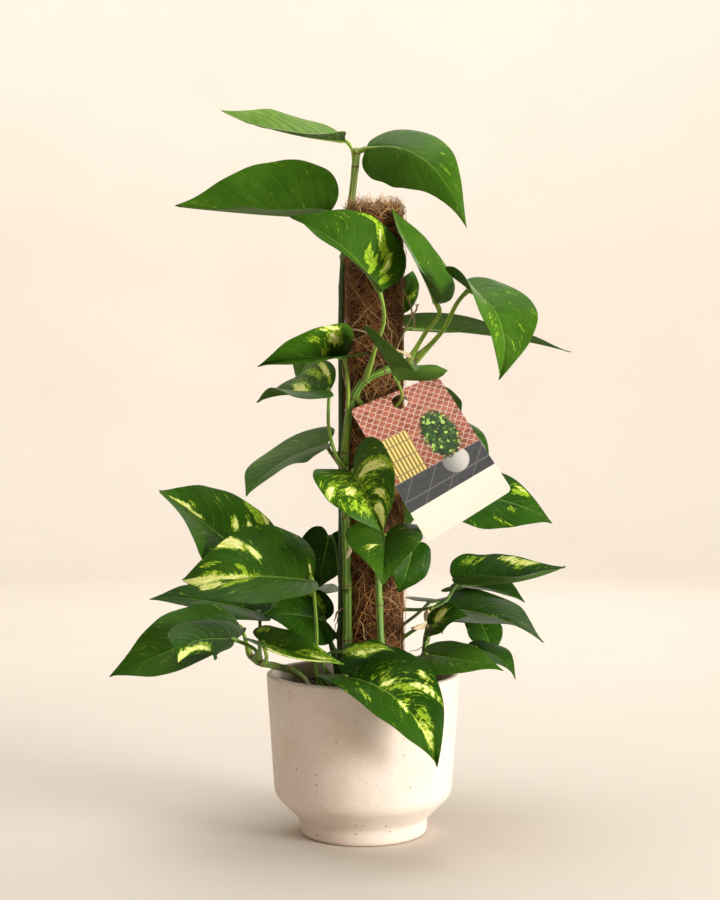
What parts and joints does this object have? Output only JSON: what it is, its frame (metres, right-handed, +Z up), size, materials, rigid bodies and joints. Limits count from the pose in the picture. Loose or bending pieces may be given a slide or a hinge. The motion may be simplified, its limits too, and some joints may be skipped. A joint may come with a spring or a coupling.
{
  "type": "potted pothos plant",
  "caption": "Variegated pothos vine on a coir pole, in a round stoneware pot with a chamfered foot, with a plain card tag hung on a petiole.",
  "frame": {"origin": "middle of the flat underside of the pot's foot", "axes": "+Z up, -Y towards the picture's viewer, +X to the viewer's right"},
  "size_m": [0.3874, 0.2656, 0.602],
  "materials": {
    "stoneware": "matte, finely speckled",
    "soil": "dark loose potting mix",
    "stake": "raw softwood",
    "coir": "wound coconut fibre, rough",
    "stem": "smooth, half gloss",
    "leaf": "glossy green with yellow variegation",
    "twine": "twisted straw-coloured fibre",
    "card": "printed, slight sheen"
  },
  "bodies": {
    "root": {"coir_pole": "coir", "leaf_back_high": "leaf", "leaf_back_low_left": "leaf", "leaf_back_low_right": "leaf", "leaf_back_middle": "leaf", "leaf_back_right": "leaf", "leaf_back_rim": "leaf", "leaf_back_upper_left": "leaf", "leaf_back_upper_right": "leaf", "leaf_behind_long": "leaf", "leaf_behind_small": "leaf", "leaf_behind_tag": "leaf", "leaf_centre_heart": "leaf", "leaf_left_back": "leaf", "leaf_left_broad": "leaf", "leaf_left_edge_on": "leaf", "leaf_left_inner_dark": "leaf", "leaf_left_low_dark": "leaf", "leaf_left_low_small": "leaf", "leaf_low_dark_left": "leaf", "leaf_low_dark_right": "leaf", "leaf_low_heart": "leaf", "leaf_mid_left": "leaf", "leaf_mid_narrow": "leaf", "leaf_mid_under_left": "leaf", "leaf_mid_upper_left": "leaf", "leaf_pole_top": "leaf", "leaf_right_behind_tag": "leaf", "leaf_right_dark": "leaf", "leaf_right_hanging": "leaf", "leaf_right_hung": "leaf", "leaf_right_level": "leaf", "leaf_right_lowest": "leaf", "leaf_right_rim": "leaf", "leaf_right_second": "leaf", "leaf_right_small": "leaf", "leaf_rim_curled": "leaf", "leaf_rim_front": "leaf", "leaf_rim_left": "leaf", "leaf_top_left": "leaf", "leaf_top_right": "leaf", "leaf_top_young": "leaf", "leaf_upper_fold": "leaf", "plant_tag": "card", "pole_stake": "stake", "pot": "stoneware", "soil": "soil", "twine_tie": "twine", "vine_back": "stem", "vine_front": "stem", "vine_left": "stem", "vine_main": "stem", "vine_near": "stem", "vine_right": "stem", "vine_tall": "stem"}
  },
  "joints": []
}
